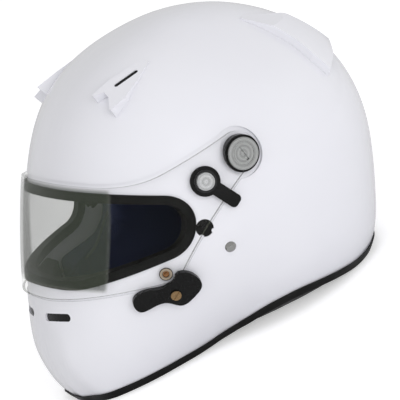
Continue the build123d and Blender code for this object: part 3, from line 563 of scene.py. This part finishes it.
# Copper stud in the bush's bore, with a socket in its head: pairs of radius and height
STUD_PROFILE = (
    (0, 0.0022), (0.0009, 0.0022), (0.0012, 0.0031), (0.0022, 0.0032), (0.00255, 0.0029), (0.00255, 0.0018),
    (0, 0.0018),
)
lathe("latch_bush_stud", BUSH_PLACE, BUSH_AXIS, STUD_PROFILE, copper, "brass", "visor_body")

# Piping on a cheek cushion, side view of the level frame in metres (rearward, up)
PIPING_ROUTE = (
    (-0.094, -0.071), (-0.080, -0.063), (-0.066, -0.053), (-0.054, -0.043), (-0.046, -0.030),
    (-0.040, -0.016), (-0.030, -0.012), (-0.016, -0.012), (0.002, -0.014), (0.012, -0.024),
    (0.014, -0.042), (0.012, -0.062),
)
PIPING_RADIUS = 0.0011
PIPING_STEPS = 6


def spline_points(points, steps):
    """Points on a smooth curve through the given ones."""
    done = []
    for index in range(len(points) - 1):
        a = points[max(index - 1, 0)]
        b, c = points[index], points[index + 1]
        d = points[min(index + 2, len(points) - 1)]
        for step in range(steps):
            t = step / steps
            square, cube = 2 * a - 5 * b + 4 * c - d, 3 * b - a - 3 * c + d
            done.append(0.5 * ((2 * b) + (c - a) * t + square * t * t + cube * t ** 3))
    done.append(points[-1])
    return done


def surface_of(obj):
    return BVHTree.FromObject(obj, bpy.context.evaluated_depsgraph_get())


for side, sign in SIDES:
    surface = surface_of(pads[side])
    spots = [surface.ray_cast(placed((0, y, z)), Vector((sign, 0, 0)))[0] for y, z in PIPING_ROUTE]
    line = spline_points([spot for spot in spots if spot is not None], PIPING_STEPS)
    tube("cheek_piping_" + side, line, PIPING_RADIUS, piping_cloth, "black_fabric")

# Chin strap webbing: a woven band in a plane under the rivets, drawn in a front view.
# It runs down the liner, turns inward, and hangs at STRAP_X: left in a loop round the rings, right folded.
STRAP_PLANE = -0.02403
STRAP_HALF = 0.0098
STRAP_FLAT = 0.00062
STRAP_SHOULDER_SHARE = 0.97
STRAP_EDGE_SHARE = 0.4
STRAP_X = 0.0585
STRAP_STEPS = 8
STRAP_INSET = 0.001
STRAP_PROUD = 0.0007
STRAP_TURN_HEIGHT = 0.048
STRAP_TURN_ROOM = 0.003
STRAP_BEND = 0.004
LOOP_HEIGHT = 0.0166
LOOP_HALF = 0.0016
LOOP_RADIUS = 0.0021
HANG_MIDDLE = 0.03
FOLD_LOW = 0.005
FOLD_MIDDLE = 0.02
FOLD_TOP = 0.0375
FOLD_RADIUS = 0.0009
ARC_STEPS = 6


def arc(centre, radius, start, end):
    """Front-view arc as (x, z) pairs, angles in degrees from +X towards +Z."""
    turns = [math.radians(start + (end - start) * k / ARC_STEPS) for k in range(ARC_STEPS + 1)]
    return [(centre[0] + radius * math.cos(a), centre[1] + radius * math.sin(a)) for a in turns]


def webbing(form, path, sign, closed_path=False):
    """Flat woven band with soft edges along a front-view path."""
    half, flat = STRAP_HALF, STRAP_FLAT
    shoulder, edge = half * STRAP_SHOULDER_SHARE, flat * STRAP_EDGE_SHARE
    section = (
        (-half, -edge), (-shoulder, -flat), (0, -flat), (shoulder, -flat), (half, -edge),
        (half, edge), (shoulder, flat), (0, flat), (-shoulder, flat), (-half, edge),
    )
    rings = []
    for index, (x, z) in enumerate(path):
        ahead, behind = neighbours(path, index, closed_path)
        run = Vector((ahead[0] - behind[0], ahead[1] - behind[1])).normalized()
        rings.append([
            form.verts.new((sign * (x - out * run.y), STRAP_PLANE + across, z + out * run.x))
            for across, out in section
        ])
    join_rings(form, rings, closed_path)


def strap(side, sign):
    name, node = "strap_webbing_" + side, "chin_strap_" + side
    solid = surface_of(nodes[node])
    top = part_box(node)[1][2] - STRAP_INSET
    path = []
    for k in range(STRAP_STEPS):
        height = top + (STRAP_TURN_HEIGHT + STRAP_TURN_ROOM - top) * k / (STRAP_STEPS - 1)
        spot = solid.ray_cast(Vector((0, STRAP_PLANE, height)), Vector((sign, 0, 0)))[0]
        if spot is not None:
            path.append((abs(spot.x) + STRAP_PROUD, height))
    path.append((path[-1][0] - STRAP_TURN_ROOM, STRAP_TURN_HEIGHT))
    path += arc((STRAP_X + STRAP_BEND, STRAP_TURN_HEIGHT - STRAP_BEND), STRAP_BEND, 90, 180)
    form = bmesh.new()
    if side == "left":
        path.append((STRAP_X, LOOP_HEIGHT + LOOP_RADIUS - STRAP_FLAT))
        loop = arc((STRAP_X + LOOP_HALF, LOOP_HEIGHT), LOOP_RADIUS, 90, -90)
        loop += arc((STRAP_X - LOOP_HALF, LOOP_HEIGHT), LOOP_RADIUS, 270, 90)
        webbing(form, loop, sign, closed_path=True)
    else:
        inner = STRAP_X - 2 * FOLD_RADIUS
        path.append((STRAP_X, HANG_MIDDLE))
        path += arc((STRAP_X - FOLD_RADIUS, FOLD_LOW + FOLD_RADIUS), FOLD_RADIUS, 0, -180)
        path += [(inner, FOLD_MIDDLE), (inner, FOLD_TOP)]
    webbing(form, path, sign)
    adopt(name, finished_mesh(form, name), black_cloth, "black_webbing", node)


for side, sign in SIDES:
    strap(side, sign)

# Pale floor that glows only towards the camera, so it shows nearly white and keeps the helmet's shadow
FLOOR_GLOW = 0.42
FLOOR_HALF = 20
FLOOR_DEEP, FLOOR_PALE = (0.84, 0.84, 0.85), (0.86, 0.86, 0.87)
floor_mesh = bpy.data.meshes.new("floor")
floor = bpy.data.objects.new("floor", floor_mesh)
scene.collection.objects.link(floor)
form = bmesh.new()
bmesh.ops.create_grid(form, x_segments=2, y_segments=2, size=FLOOR_HALF)
form.to_mesh(floor_mesh)
form.free()
ground = Shader("pale_floor", Roughness=0.8, Emission_Color=(1, 1, 1, 1))
ground.set("Base Color", ground.ramp(ground.noise(1.5, detail=2.0), [(0.3, FLOOR_DEEP), (0.7, FLOOR_PALE)]))
seen = ground.add("LightPath").outputs["Is Camera Ray"]
ground.set("Emission Strength", ground.math("MULTIPLY", seen, FLOOR_GLOW))
floor_mesh.materials.append(ground.material)

# World: white behind the helmet and through its visor, softer as light on it
WORLD_LIGHT = 0.66
world = bpy.data.worlds.new("studio")
scene.world = world
world.use_nodes = True
tree = world.node_tree
background = tree.nodes["Background"]
background.inputs["Color"].default_value = (1, 1, 1, 1)
rays = tree.nodes.new("ShaderNodeLightPath")
either = tree.nodes.new("ShaderNodeMath")
either.operation = "MAXIMUM"
tree.links.new(rays.outputs["Is Camera Ray"], either.inputs[0])
tree.links.new(rays.outputs["Is Transmission Ray"], either.inputs[1])
blend = tree.nodes.new("ShaderNodeMix")
blend.data_type = "FLOAT"
blend.inputs[2].default_value = WORLD_LIGHT
blend.inputs[3].default_value = 1.0
tree.links.new(either.outputs[0], blend.inputs[0])
tree.links.new(blend.outputs[0], background.inputs["Strength"])

# Soft lamps: name, place, power in watts and width in metres
LAMPS = (
    ("key", (2.55, -0.25, 0.55), 38, 2.0),
    ("front", (0.0, -2.6, 1.4), 7, 1.6),
    ("back", (0.2, 2.5, 0.9), 8, 1.6),
)
LAMP_AIM = Vector((0, 0, 0.12))
for name, place, power, size in LAMPS:
    data = bpy.data.lights.new(name, "AREA")
    data.energy, data.size = power, size
    lamp = bpy.data.objects.new(name, data)
    scene.collection.objects.link(lamp)
    lamp.location = place
    lamp.rotation_euler = (LAMP_AIM - lamp.location).to_track_quat("-Z", "Y").to_euler()
    lamp.visible_glossy = False
